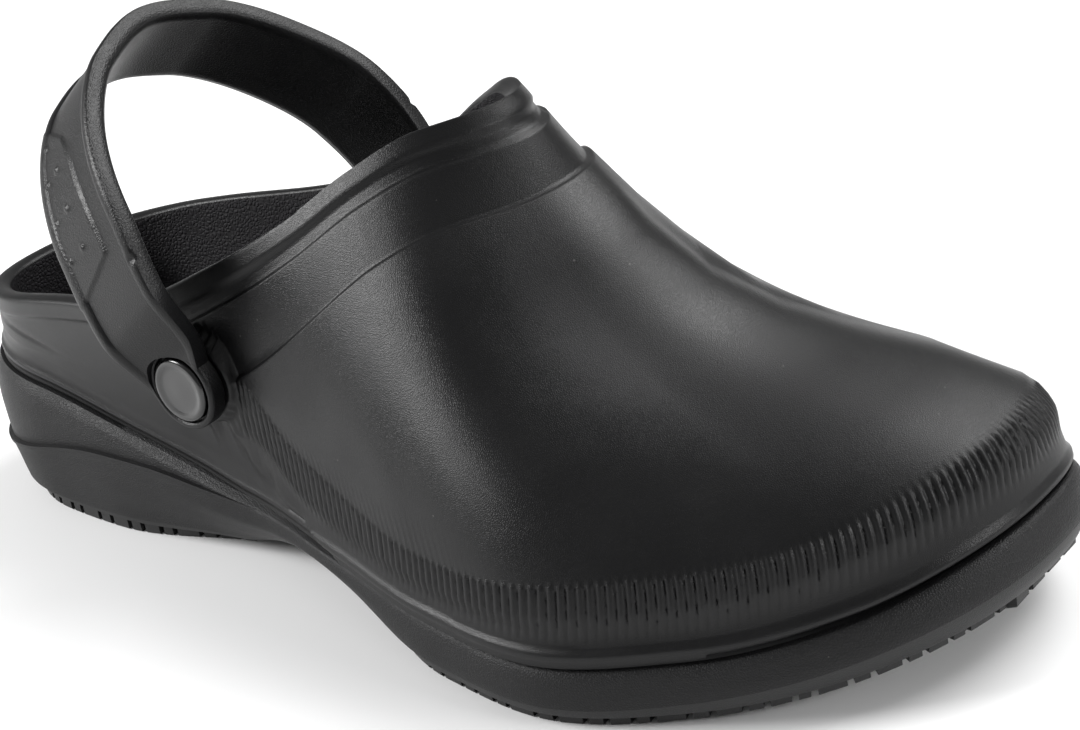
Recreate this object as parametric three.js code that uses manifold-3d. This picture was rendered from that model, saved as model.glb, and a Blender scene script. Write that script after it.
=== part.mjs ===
import * as THREE from "three";
import Module from "manifold-3d";
import { mergeVertices } from "three/addons/utils/BufferGeometryUtils.js";

// A moulded work clog for the right foot: closed toe, low heel counter, and a heel strap on two rivets.
// Lengths are in millimetres. While it is built, x runs from the heel's back to the toe,
// y from the lateral side (negative) to the medial side (positive), and z up from the floor.

const wasm = await Module();
wasm.setup();

// Driving sizes
const shoeLength = 300;
const ballWidth = 116;
const heelRise = 41; // height of the seam between sole and upper at the heel's back
const toeSwing = 18; // how far the toe's tip lies towards the medial side
const toeSpring = 13.9; // height of the tread under the toe's tip
const archRise = 7; // height of the tread line under the waist
const heelBevel = 4; // height of the tread line at the heel's back edge
const upperWall = 4;
const clearance = 0.3;

// Outsole
const lugHeight = 3.2;
const lugPitch = 15;
const lugGroove = 3.6;
const lugRoot = 0.8; // how far a lug is sunk into the plate
const lugsHeelEnd = 0.35; // the lugs under the heel end here, as a share of the length
const lugsBallStart = 0.55;
const archInset = 9; // how much narrower the rubber is under the arch
const rubberInset = 0.6;

// Midsole
const rimWidth = 6.5; // flat edge that carries the upper
const dishSlope = 2;
const podStep = 0.9; // ledge that runs round the heel and up to the waist

// Insole
const insoleThickness = 3;
const insoleGap = 0.6;

// Upper
const collarBack = 6.5; // the collar's rear end, measured from the heel's back
const collarFront = 173;
const collarHalf = 36;
const collarTop = 110;
const collarDrift = 8; // how far the collar's front lies towards the medial side
const rimLip = 0.9;
const rimLipDepth = 5;
const footBead = 1;
const footBeadHeight = 3.6;
const bandWidth = 9; // from the collar's edge to the first step
const bandStep = 1.2;
const panelStep = 1.3;
const ribRecess = 0.5;
const ribEdge = 0.8; // run of the slope at each end of the ribs
const rimCrown = 1.1; // how far the rim's rounded top rises
const stepRun = 1.4; // width over which a step rises

// Strap and rivets
const pivotX = 106.5;
const pivotZ = 53;
const strapLean = 128.6; // degrees from the toe's direction up to the strap
const strapReach = 78.7;
const strapHalfGap = 41.7; // from the shoe's middle plane to the strap's middle at a rivet
const strapThickness = 4.8;
const strapWidth = 29;
const strapEdgeBead = 0.6;
const strapEndShift = 0.1; // how far the round end stands outside the band
const rivetCapRadius = 8.2;
const rivetCapHeight = 2;
const rivetRecess = 1.6;
const rivetStemRadius = 3.6;
const washerRadius = 7;
const washerThickness = 1.6;
const seatMargin = 0.9; // how much wider than the strap's end the raised seat on the upper is
const seatThickness = 6.4; // of the upper at a rivet

const strapEndRadius = strapWidth * 0.36;
const seatOut = strapHalfGap - strapThickness / 2 - clearance; // the upper's outer face at a rivet

// Mesh density
const columns = 96;
const half = columns / 2;
const roundSides = 18;

// A table has named columns and a row for each section.
function table(names, rows) {
  return Object.fromEntries(names.map((name, i) => [name, rows.map((row) => row[i])]));
}

// A smooth curve through the given points that doesn't overshoot between them.
function curve(xs, ys) {
  const n = xs.length;
  const h = xs.slice(1).map((x, i) => x - xs[i]);
  const d = h.map((step, i) => (ys[i + 1] - ys[i]) / step);
  const m = ys.map((y, i) => {
    if (i === 0 || i === n - 1) return d[i === 0 ? 0 : n - 2];
    if (d[i - 1] * d[i] <= 0) return 0;
    const a = 2 * h[i] + h[i - 1];
    const b = h[i] + 2 * h[i - 1];
    return (a + b) / (a / d[i - 1] + b / d[i]);
  });
  return (x) => {
    const i = Math.max(0, xs.findLastIndex((value, at) => value <= x && at < n - 1));
    const t = Math.min(1, Math.max(0, (x - xs[i]) / h[i]));
    const u = 1 - t;
    return ys[i] * (1 + 2 * t) * u * u + ys[i + 1] * (3 - 2 * t) * t * t
      + h[i] * t * u * (m[i] * u - m[i + 1] * t);
  };
}

const smooth = (from, to, x) => {
  const t = Math.min(1, Math.max(0, (x - from) / (to - from)));
  return t * t * (3 - 2 * t);
};
const mix = (a, b, t) => a + (b - a) * t;

// The last's plan: half widths as shares of the ball's width, seam height as a share of the heel's rise,
// and how far along the collar each section's line ends.
const last = table(
  ["along", "lateral", "medial", "seam", "footbed", "collar"],
  [
    [0.0, 0.319, 0.319, 1.0, 0.73, 0.0],
    [0.12, 0.319, 0.316, 0.905, 0.64, 0.169],
    [0.25, 0.322, 0.318, 0.69, 0.52, 0.38],
    [0.38, 0.338, 0.33, 0.498, 0.41, 0.563],
    [0.5, 0.412, 0.362, 0.42, 0.34, 0.697],
    [0.62, 0.502, 0.438, 0.383, 0.295, 0.802],
    [0.72, 0.549, 0.462, 0.37, 0.285, 0.874],
    [0.82, 0.509, 0.458, 0.402, 0.305, 0.93],
    [0.91, 0.487, 0.452, 0.534, 0.41, 0.972],
    [1.0, 0.466, 0.446, 0.81, 0.66, 1.0],
  ],
);
const lateral = curve(last.along, last.lateral);
const medial = curve(last.along, last.medial);
const seamHeight = (s) => heelRise * curve(last.along, last.seam)(s);
const footbedHeight = (s) => heelRise * curve(last.along, last.footbed)(s);
const collarShare = curve(last.along, last.collar);

const toeStart = 0.69; // where the toe's rounding starts, as a share of the length
const heelEnd = 0.13;
const swingStart = 0.55;
const toeRoundness = 2.4;
const heelRoundness = 2.2;

function ends(share, rear, front, rearPower, frontPower) {
  const rearPart = share < rear ? (1 - ((rear - share) / rear) ** rearPower) ** (1 / rearPower) : 1;
  const past = share > front ? Math.min(1, (share - front) / (1 - front)) : 0;
  return rearPart * (1 - past ** frontPower) ** (1 / frontPower);
}

// A point of the last's outline: share runs from heel (0) to toe (1), side is -1 lateral and 1 medial.
function planPoint(share, side, inset) {
  const round = ends(share, heelEnd, toeStart, heelRoundness, toeRoundness);
  const width = ballWidth * (side < 0 ? lateral(share) : medial(share)) - inset;
  const swing = toeSwing * Math.max(0, (share - swingStart) / (1 - swingStart)) ** 2;
  const rear = Math.max(0, 1 - share / heelEnd) ** 1.5;
  const front = Math.max(0, (share - toeStart) / (1 - toeStart)) ** 1.5;
  return [share * shoeLength + inset * (rear - front), swing + side * width * round];
}

// Column k of a ring: from the heel along the lateral side to the toe, and back on the medial side.
function columnOf(k) {
  return { share: (1 - Math.cos((2 * Math.PI * k) / columns)) / 2, side: k <= half ? -1 : 1 };
}

// Tread line, rubber and the sole's side
const archStart = 0.33;
const archEnd = 0.6;
const springStart = 0.75;
const bevelEnd = 0.07;
function archShape(share) {
  const middle = (archStart + archEnd) / 2;
  return 1 - smooth(0, archEnd - middle, Math.abs(share - middle));
}
function treadHeight(share) {
  const spring = toeSpring * Math.max(0, (share - springStart) / (1 - springStart)) ** 2;
  const bevel = heelBevel * Math.max(0, 1 - share / bevelEnd) ** 2;
  return spring + bevel + archRise * archShape(share);
}

const rubber = table(
  ["along", "thickness"],
  [
    [0.0, 3.2],
    [0.15, 2.2],
    [0.72, 2.2],
    [0.9, 3.6],
    [1.0, 5.0],
  ],
);
const rubberThickness = curve(rubber.along, rubber.thickness);

// The sole's side: how far it lies inside the outline, by share of its height, at five sections.
const soleSide = table(
  ["up", "heel", "quarter", "waist", "ball", "toe"],
  [
    [0.0, 7.0, 1.5, 13.5, 2.4, 5.0],
    [0.12, 5.0, 1.0, 9.0, 1.2, 2.6],
    [0.3, 3.4, 0.4, 6.0, 0.4, 0.4],
    [0.5, 1.8, 0.0, 3.0, 0.0, 0.0],
    [0.72, 1.4, 0.4, 0.9, 0.3, 0.9],
    [0.92, 2.6, 1.6, 1.4, 1.1, 2.6],
    [1.0, 4.2, 3.4, 3.4, 2.6, 4.8],
  ],
);
const sideStations = [0, 0.2, 0.38, 0.62, 1];
const sideNames = ["heel", "quarter", "waist", "ball", "toe"];
const sideCurves = sideNames.map((name) => curve(soleSide.up, soleSide[name]));
const sideInset = (up, share) => curve(sideStations, sideCurves.map((at) => at(up)))(share);

const ledge = table(
  ["along", "up"],
  [
    [0.0, 0.36],
    [0.1, 0.52],
    [0.2, 0.74],
    [0.3, 0.88],
    [0.4, 0.94],
    [1.0, 0.94],
  ],
);
const ledgeUp = curve(ledge.along, ledge.up);
const podFade = (share) => 1 - smooth(0.28, 0.4, share);

// Shells made of closed rings
function shell() {
  const points = [];
  const faces = [];
  const ring = (make) => {
    const start = points.length;
    for (let k = 0; k < columns; k += 1) points.push(make(k));
    return Array.from({ length: columns }, (_, k) => start + k);
  };
  const band = (a, b) => {
    for (let k = 0; k < columns; k += 1) {
      const n = (k + 1) % columns;
      faces.push([a[k], a[n], b[n]], [a[k], b[n], b[k]]);
    }
  };
  // Closes a ring with straight rows from side to side; lift gives each inner point its height.
  const cap = (edge, up, rows = 1, lift = null) => {
    let before = [edge[0]];
    for (let k = 1; k <= half; k += 1) {
      let row = [edge[half]];
      if (k < half) {
        const a = points[edge[k]];
        const b = points[edge[columns - k]];
        row = [edge[k]];
        for (let j = 1; j < rows; j += 1) {
          const t = j / rows;
          const p = a.map((value, i) => mix(value, b[i], t));
          if (lift) p[2] += lift(columnOf(k).share, t);
          points.push(p);
          row.push(points.length - 1);
        }
        row.push(edge[columns - k]);
      }
      const steps = Math.max(before.length, row.length) - 1;
      for (let j = 0; j < steps; j += 1) {
        const [a, b] = [before[Math.min(j, before.length - 1)], before[Math.min(j + 1, before.length - 1)]];
        const [c, d] = [row[Math.min(j, row.length - 1)], row[Math.min(j + 1, row.length - 1)]];
        if (c !== d) faces.push(up ? [a, c, d] : [a, d, c]);
        if (a !== b) faces.push(up ? [a, d, b] : [a, b, d]);
      }
      before = row;
    }
  };
  const geometry = () => {
    const made = new THREE.BufferGeometry();
    made.setAttribute("position", new THREE.BufferAttribute(new Float32Array(points.flat()), 3));
    made.setIndex(faces.flat());
    return made;
  };
  return { ring, band, cap, geometry };
}

// Solids joined and cut
function solid(geometry) {
  const bare = geometry.clone();
  bare.deleteAttribute("normal");
  bare.deleteAttribute("uv");
  const merged = mergeVertices(bare, 1e-4);
  return new wasm.Manifold(new wasm.Mesh({
    numProp: 3,
    vertProperties: new Float32Array(merged.attributes.position.array),
    triVerts: new Uint32Array(merged.index.array),
  }));
}

function surface(body) {
  const mesh = body.getMesh();
  const made = new THREE.BufferGeometry();
  made.setAttribute("position", new THREE.BufferAttribute(new Float32Array(mesh.vertProperties), 3));
  made.setIndex(Array.from(mesh.triVerts));
  return made;
}

// Outsole: a rubber plate that narrows under the arch, with block lugs under heel and forefoot
function rubberRing(body, up, drop) {
  return body.ring((k) => {
    const { share, side } = columnOf(k);
    const rise = (drop + up * rubberThickness(share)) / (seamHeight(share) - treadHeight(share));
    const inset = sideInset(rise, share) + rubberInset + archInset * archShape(share);
    const [x, y] = planPoint(share, side, inset);
    const at = x / shoeLength;
    return [x, y, treadHeight(at) + drop + up * rubberThickness(at)];
  });
}

function soleLayer(from, fromDrop, to, toDrop) {
  const body = shell();
  const bottom = rubberRing(body, from, fromDrop);
  const top = rubberRing(body, to, toDrop);
  body.cap(bottom, false);
  body.band(bottom, top);
  body.cap(top, true);
  return body.geometry();
}

// One lug: a block whose foot follows the tread line and whose root is sunk into the plate
function makeLug(x, y) {
  const size = lugPitch - lugGroove;
  const lug = new THREE.BoxGeometry(size, size, 1).translate(x, y, 0);
  const place = lug.attributes.position;
  for (let i = 0; i < place.count; i += 1) {
    const foot = treadHeight(Math.min(1, Math.max(0, place.getX(i) / shoeLength)));
    place.setZ(i, place.getZ(i) < 0 ? foot : foot + lugHeight + lugRoot);
  }
  return solid(lug);
}

function treadOutline() {
  const body = shell();
  const wallRing = (z) => body.ring((k) => {
    const { share, side } = columnOf(k);
    return [...planPoint(share, side, sideInset(0, share) + rubberInset), z];
  });
  const low = wallRing(-heelRise);
  const high = wallRing(heelRise);
  body.cap(low, false);
  body.band(low, high);
  body.cap(high, true);
  return solid(body.geometry());
}

function makeOutsole() {
  const rows = Math.floor(shoeLength / lugPitch);
  const files = Math.floor(ballWidth / lugPitch) + 2;
  let lugs = null;
  for (let i = 0; i < rows; i += 1) {
    const x = (i + 0.5) * (shoeLength / rows);
    const share = x / shoeLength;
    if (share > lugsHeelEnd && share < lugsBallStart) continue;
    for (let j = 0; j < files; j += 1) {
      const y = (j - (files - 1) / 2 + (i % 2 ? 0.25 : -0.25)) * lugPitch + toeSwing / 3;
      lugs = lugs ? lugs.add(makeLug(x, y)) : makeLug(x, y);
    }
  }
  const plate = solid(soleLayer(0, lugHeight, 1, lugHeight));
  return surface(plate.add(lugs.intersect(treadOutline())));
}

// Midsole: a foam sole with sculpted sides, a flat edge for the upper and a dish for the foot
function makeMidsole() {
  const body = shell();
  const levels = [0, 0.35, 0.7, 1];
  const upperLevels = [0.05, 0.35, 0.68, 1];
  const base = (share) => lugHeight + rubberThickness(share) + clearance;
  const sideRing = (levelOf, proud) => body.ring((k) => {
    const { share, side } = columnOf(k);
    const levelAt = (s) => levelOf(base(s) / (seamHeight(s) - treadHeight(s)), ledgeUp(s));
    const inset = sideInset(levelAt(share), share) - proud * podStep * podFade(share);
    const [x, y] = planPoint(share, side, inset);
    const at = x / shoeLength;
    return [x, y, mix(treadHeight(at), seamHeight(at), levelAt(at))];
  });
  const rings = levels.map((t) => sideRing((start, crease) => mix(start, crease, t), 1));
  upperLevels.forEach((t) => rings.push(sideRing((start, crease) => mix(crease, 1, t), 0)));
  const inner = (inset, height) => body.ring((k) => {
    const { share, side } = columnOf(k);
    const [x, y] = planPoint(share, side, sideInset(1, share) + inset);
    return [x, y, height(x / shoeLength)];
  });
  rings.push(inner(rimWidth, seamHeight));
  rings.push(inner(rimWidth + dishSlope, footbedHeight));
  body.cap(rings[0], false);
  for (let i = 1; i < rings.length; i += 1) body.band(rings[i - 1], rings[i]);
  body.cap(rings.at(-1), true);
  return body.geometry();
}

// Insole: a foam sheet in the midsole's dish
function makeInsole() {
  const body = shell();
  const edge = (height, extra) => body.ring((k) => {
    const { share, side } = columnOf(k);
    const inset = sideInset(1, share) + rimWidth + dishSlope + insoleGap + extra;
    const [x, y] = planPoint(share, side, inset);
    return [x, y, footbedHeight(x / shoeLength) + height];
  });
  const low = edge(clearance, 0);
  const high = edge(clearance + insoleThickness - 1, 0);
  const top = edge(clearance + insoleThickness, 1);
  body.cap(low, false);
  body.band(low, high);
  body.band(high, top);
  body.cap(top, true);
  return body.geometry();
}

// Upper: each line of the last runs from the seam up to the collar.
// rise gives its height share at six shares of its run, for lines that start along the outline.
const lines = table(
  ["along", "rise03", "rise10", "rise22", "rise42", "rise65", "rise85"],
  [
    [0.0, 0.03, 0.1, 0.22, 0.42, 0.65, 0.85],
    [0.25, 0.03, 0.1, 0.22, 0.42, 0.65, 0.85],
    [0.38, 0.05, 0.14, 0.29, 0.5, 0.72, 0.89],
    [0.5, 0.09, 0.21, 0.37, 0.58, 0.77, 0.91],
    [0.62, 0.14, 0.265, 0.4, 0.57, 0.74, 0.895],
    [0.72, 0.145, 0.265, 0.38, 0.52, 0.7, 0.87],
    [0.82, 0.15, 0.255, 0.335, 0.44, 0.61, 0.82],
    [0.91, 0.17, 0.255, 0.305, 0.37, 0.515, 0.76],
    [1.0, 0.175, 0.24, 0.27, 0.31, 0.44, 0.705],
  ],
);
const runShares = [0, 0.03, 0.1, 0.22, 0.42, 0.65, 0.85, 1];
const riseNames = ["rise03", "rise10", "rise22", "rise42", "rise65", "rise85"];
const riseCurves = riseNames.map((name) => curve(lines.along, lines[name]));

const collar = table(
  ["along", "width", "height"],
  [
    [0.0, 0.82, 0.505],
    [0.08, 0.85, 0.525],
    [0.26, 0.96, 0.572],
    [0.475, 1.05, 0.623],
    [0.62, 1.04, 0.718],
    [0.75, 1.0, 0.825],
    [0.85, 0.98, 0.93],
    [0.93, 0.98, 0.99],
    [1.0, 0.96, 1.0],
  ],
);
const collarWidth = curve(collar.along, collar.width);
const collarHeight = curve(collar.along, collar.height);
const seamInset = curve([0, 0.35, 0.6, 1], [5.8, 5, 3.8, 6.4]);

function collarPoint(share, side) {
  const c = collarShare(share);
  const round = ends(c, 0.2, 0.4, 2.2, 2.3);
  const y = collarDrift * c * c + side * collarHalf * collarWidth(c) * round;
  return [mix(collarBack, collarFront, c), y, collarTop * collarHeight(c)];
}

// One line of the upper as points at even distances, from the seam (first) to the collar (last).
function upperLine(k, rows) {
  const { share, side } = columnOf(k);
  const [x, y] = planPoint(share, side, seamInset(share));
  const foot = [x, y, seamHeight(x / shoeLength) + clearance];
  const top = collarPoint(share, side);
  const roots = runShares.map(Math.sqrt);
  const rise = curve(roots, [0, ...riseCurves.map((at) => at(share)), 1]);
  const fine = Array.from({ length: 121 }, (_, i) => {
    const root = i / 120;
    const run = root * root;
    return [mix(foot[0], top[0], run), mix(foot[1], top[1], run), mix(foot[2], top[2], rise(root))];
  });
  const lengths = [0];
  for (let i = 1; i < fine.length; i += 1) {
    lengths.push(lengths[i - 1] + Math.hypot(...fine[i].map((v, j) => v - fine[i - 1][j])));
  }
  const total = lengths.at(-1);
  const at = (distance) => {
    const i = Math.min(fine.length - 2, Math.max(0, lengths.findLastIndex((v) => v <= distance)));
    const t = Math.min(1, (distance - lengths[i]) / (lengths[i + 1] - lengths[i]));
    return fine[i].map((v, j) => mix(v, fine[i + 1][j], t));
  };
  return rows(total, share).map((distance) => ({ distance, total, share, point: at(distance) }));
}

// Rows of the upper's mesh: the foot bead, the rib band, the panel's edge, the collar band and the rim.
const features = table(
  ["along", "ribLow", "ribHigh", "panel"],
  [
    [0.0, 26, 38, 26],
    [0.42, 18, 38, 25],
    [0.47, 8, 26, 24.5],
    [0.55, 5.5, 19.5, 23.5],
    [0.62, 5.3, 16.5, 23],
    [0.8, 5.8, 18, 22.5],
    [1.0, 8, 18, 22],
  ],
);
const ribLow = curve(features.along, features.ribLow);
const ribHigh = curve(features.along, features.ribHigh);
const panelEdge = curve(features.along, features.panel);

// On a short line, as at the heel, the rows keep their order and share out the space.
function upperRows(total, share) {
  const low = Math.min(ribLow(share), total * 0.4);
  const bead = Math.min(footBeadHeight, low * 0.7);
  const rim = Math.min(rimLipDepth, total * 0.25);
  const band = total - Math.min(bandWidth, total * 0.4);
  const panel = Math.min(band - stepRun * 2, total - panelEdge(share));
  const high = Math.min(ribHigh(share), panel - stepRun * 2);
  const rows = [
    0, bead * 0.7, bead, low, low + ribEdge, high - ribEdge, high, mix(high, panel - stepRun, 0.5),
    panel - stepRun, panel, mix(panel, band - stepRun, 0.5), band - stepRun,
    band, total - rim, total - rim * 0.6, total,
  ];
  const least = total / 50;
  for (let i = 1; i < rows.length; i += 1) rows[i] = Math.max(rows[i], rows[i - 1] + least);
  rows[rows.length - 1] = total;
  for (let i = rows.length - 2; i >= 0; i -= 1) rows[i] = Math.min(rows[i], rows[i + 1] - least);
  return rows;
}

// How far a point of the upper stands proud of the last: bead, ribs' band, steps and rim lip.
// The panel's rear edge: its share of the length, by the distance from the seam.
const panelRear = curve([0, 5.5, 12, 20, 30, 42], [0.5, 0.442, 0.402, 0.383, 0.392, 0.436]);
const panelRearRun = 0.012;
const bandRear = 0.36;
function relief({ distance, total, share }) {
  const fromCollar = total - distance;
  const rear = panelRear(distance);
  const inPanel = smooth(rear - panelRearRun, rear + panelRearRun, share);
  const inBand = smooth(bandRear - 0.05, bandRear + 0.03, share);
  const bead = footBead * (1 - smooth(footBeadHeight * 0.7, footBeadHeight, distance));
  const rimDepth = Math.min(rimLipDepth, total * 0.25);
  const rim = rimLip * (1 - smooth(rimDepth * 0.6, rimDepth, fromCollar));
  const first = bandStep * inBand * smooth(bandWidth, bandWidth + stepRun, fromCollar);
  const edge = panelEdge(share);
  const second = panelStep * inPanel * smooth(edge, edge + stepRun, fromCollar);
  const ribs = ribRecess * inPanel * smooth(ribLow(share), ribLow(share) + ribEdge, distance)
    * (1 - smooth(ribHigh(share) - ribEdge, ribHigh(share), distance));
  return Math.max(bead, 0) + rim + first + second - ribs;
}

function makeUpper() {
  const grid = Array.from({ length: columns }, (_, k) => upperLine(k, upperRows));
  const rows = grid[0].length;
  const vector = (k, j) => {
    const row = Math.min(rows - 1, Math.max(0, j));
    return new THREE.Vector3(...grid[(k + columns) % columns][row].point);
  };
  const normal = (k, j) => {
    const across = vector(k + 1, j).sub(vector(k - 1, j));
    const along = vector(k, j + 1).sub(vector(k, j - 1));
    return across.cross(along).normalize();
  };
  const body = shell();
  const push = (k, j, offset, lift = 0) => {
    const p = vector(k, j).addScaledVector(normal(k, j), offset);
    return [p.x, p.y, j === 0 ? seamHeight(p.x / shoeLength) + clearance : p.z + lift];
  };
  const outer = Array.from({ length: rows }, (_, j) => body.ring((k) => push(k, j, relief(grid[k][j]))));
  const crown = body.ring((k) => push(k, rows - 1, (rimLip - upperWall) / 2, rimCrown));
  const insideRows = [rows - 1, rows - 3, 10, 7, 4, 0];
  const inside = insideRows.map((j) => body.ring((k) => push(k, j, -upperWall)));
  const order = [...outer, crown, ...inside];
  order.forEach((ring, i) => body.band(ring, order[(i + 1) % order.length]));
  let upper = solid(body.geometry());
  const seatInner = seatOut - seatThickness;
  [-1, 1].forEach((side) => {
    const seat = pivotDisc(side, strapEndRadius + seatMargin, seatOut - seatThickness / 2, seatOut);
    const hole = pivotDisc(side, rivetStemRadius + clearance, 0, seatOut + 1);
    const counterbore = pivotDisc(side, washerRadius + clearance * 2, seatInner - seatThickness, seatInner);
    upper = upper.add(seat).subtract(hole).subtract(counterbore);
  });
  return surface(upper);
}

// Strap: a moulded band on two rivets. Half of it is given; the other half is its mirror.
const strapHalf = [
  [0.0, 1.0, 0.0, 0.34, 0.34],
  [0.06, 1.01, 0.06, 0.48, 0.33],
  [0.2, 1.15, 0.24, 0.8, 0.19],
  [0.4, 1.06, 0.5, 0.9, 0.14],
  [0.6, 0.81, 0.75, 0.82, 0.2],
  [0.8, 0.43, 0.93, 0.77, 0.26],
  [1.0, 0.0, 1.0, 0.74, 0.3],
];
const strapRows = table(
  ["along", "halfGap", "reach", "front", "back"],
  [...strapHalf, ...strapHalf.slice(0, -1).reverse().map(([a, g, ...rest]) => [2 - a, -g, ...rest])],
);
const strapGap = curve(strapRows.along, strapRows.halfGap);
const strapOut = curve(strapRows.along, strapRows.reach);
const strapFront = curve(strapRows.along, strapRows.front);
const strapBack = curve(strapRows.along, strapRows.back);

// The band's section, from its front edge (0) to its back edge (1); out is a share of half its thickness.
const strapSection = [
  [0.0, 0.4, 0],
  [0.03, 1.0, 1],
  [0.11, 1.0, 1],
  [0.14, 0.9, 0],
  [0.86, 0.9, 0],
  [0.89, 1.0, 1],
  [0.97, 1.0, 1],
  [1.0, 0.4, 0],
  [1.0, -0.4, 0],
  [0.97, -1.0, 0],
  [0.03, -1.0, 0],
  [0.0, -0.4, 0],
];
const strapStations = 30;

function strapPoint(along, across, out) {
  const lean = THREE.MathUtils.degToRad(strapLean);
  const at = (s) => new THREE.Vector3(
    pivotX + strapReach * strapOut(s) * Math.cos(lean),
    -strapHalfGap * strapGap(s),
    pivotZ + strapReach * strapOut(s) * Math.sin(lean),
  );
  const back = new THREE.Vector3(-Math.sin(lean), 0, Math.cos(lean));
  const step = 0.01;
  const way = at(Math.min(2, along + step)).sub(at(Math.max(0, along - step)));
  const outward = back.clone().cross(way).normalize();
  const width = strapWidth * mix(-strapFront(along), strapBack(along), across);
  return at(along).addScaledVector(back, width).addScaledVector(outward, out);
}

function makeStrap() {
  const points = [];
  const faces = [];
  const sides = strapSection.length;
  for (let i = 0; i <= strapStations; i += 1) {
    const along = (2 * i) / strapStations;
    const bead = smooth(0.05, 0.2, Math.min(along, 2 - along)) * strapEdgeBead;
    strapSection.forEach(([across, out, edge]) => {
      points.push(...strapPoint(along, across, (out * strapThickness) / 2 + edge * bead).toArray());
    });
  }
  for (let i = 0; i < strapStations; i += 1) {
    for (let j = 0; j < sides; j += 1) {
      const [a, b] = [i * sides + j, i * sides + ((j + 1) % sides)];
      faces.push([a, b, b + sides], [a, b + sides, a + sides]);
    }
  }
  for (let j = 1; j < sides - 1; j += 1) {
    faces.push([0, j + 1, j]);
    faces.push([strapStations * sides, strapStations * sides + j, strapStations * sides + j + 1]);
  }
  const made = new THREE.BufferGeometry();
  made.setAttribute("position", new THREE.BufferAttribute(new Float32Array(points), 3));
  made.setIndex(faces.flat());
  let strap = solid(made);
  const inner = strapHalfGap - strapThickness / 2;
  const outer = strapHalfGap + strapThickness / 2;
  [-1, 1].forEach((side) => {
    strap = strap.add(pivotDisc(side, strapEndRadius, inner + strapEndShift, outer + strapEndShift));
    strap = strap.subtract(pivotDisc(side, rivetStemRadius + clearance, inner - 1, outer + 1));
    strap = strap.subtract(pivotDisc(side, rivetCapRadius + clearance * 2, outer - rivetRecess, outer + 4));
  });
  return surface(strap);
}

// A round disc about the strap's pivot, between two distances from the shoe's middle plane.
function pivotDisc(side, radius, from, to) {
  const disc = new THREE.CylinderGeometry(radius, radius, to - from, roundSides);
  return solid(disc.translate(pivotX, (side * (from + to)) / 2, pivotZ));
}

// Rivet: a stud with a domed cap outside, and a washer on its stem inside the shoe
function lathe(side, profile) {
  const rows = profile.map(([radius, away]) => new THREE.Vector2(radius, away));
  const made = new THREE.LatheGeometry(rows, roundSides);
  if (side < 0) made.rotateX(Math.PI);
  return made.translate(pivotX, 0, pivotZ);
}

function makeStud(side) {
  const floor = strapHalfGap + strapThickness / 2 - rivetRecess + clearance;
  const tip = seatOut - seatThickness - washerThickness - clearance;
  return surface(solid(lathe(side, [
    [0, tip],
    [rivetStemRadius, tip],
    [rivetStemRadius, floor],
    [rivetCapRadius, floor],
    [rivetCapRadius, floor + rivetCapHeight * 0.6],
    [rivetCapRadius * 0.85, floor + rivetCapHeight * 0.9],
    [0, floor + rivetCapHeight],
  ])));
}

function makeWasher(side) {
  const outer = seatOut - seatThickness - clearance;
  return surface(solid(lathe(side, [
    [rivetStemRadius + clearance, outer - washerThickness],
    [washerRadius, outer - washerThickness],
    [washerRadius, outer],
    [rivetStemRadius + clearance, outer],
    [rivetStemRadius + clearance, outer - washerThickness],
  ])));
}

const black = (color, roughness) => new THREE.MeshStandardMaterial({ color, roughness, metalness: 0 });

const parts = {
  outsole: [makeOutsole(), black("#1b1b1c", 0.85)],
  midsole: [makeMidsole(), black("#232324", 0.8)],
  insole: [makeInsole(), black("#2b292b", 0.95)],
  upper: [makeUpper(), black("#161617", 0.5)],
  heel_strap: [makeStrap(), black("#18181a", 0.5)],
  rivet_stud_lateral: [makeStud(-1), black("#0d0d0e", 0.2)],
  rivet_stud_medial: [makeStud(1), black("#0d0d0e", 0.2)],
  rivet_washer_lateral: [makeWasher(-1), black("#0d0d0e", 0.3)],
  rivet_washer_medial: [makeWasher(1), black("#0d0d0e", 0.3)],
};

const group = new THREE.Group();
Object.entries(parts).forEach(([name, [geometry, material]]) => {
  const mesh = new THREE.Mesh(geometry, material);
  mesh.name = name;
  group.add(mesh);
});

// The origin is on the floor, under the middle of the shoe's box.
const box = new THREE.Box3().setFromObject(group);
group.position.set(-(box.min.x + box.max.x) / 2, -(box.min.y + box.max.y) / 2, -box.min.z);

export default group;
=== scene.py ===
# %% [markdown]
# # A moulded work clog
# The real shoe is foam and rubber from moulds: a hollow upper, a thick sole, a strap on two rivets.
# It could be sculpted by hand, but a shoe is designed by numbers, so every form here is worked out from the
# shoe's length, ball width and heel height, as a last maker does it. A change of size then moves everything.
# Lengths are in millimetres until a mesh is made; Blender's own unit is the metre.

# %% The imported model
import math

import bmesh
import bpy
import numpy as np
from mathutils import Matrix, Vector


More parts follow.
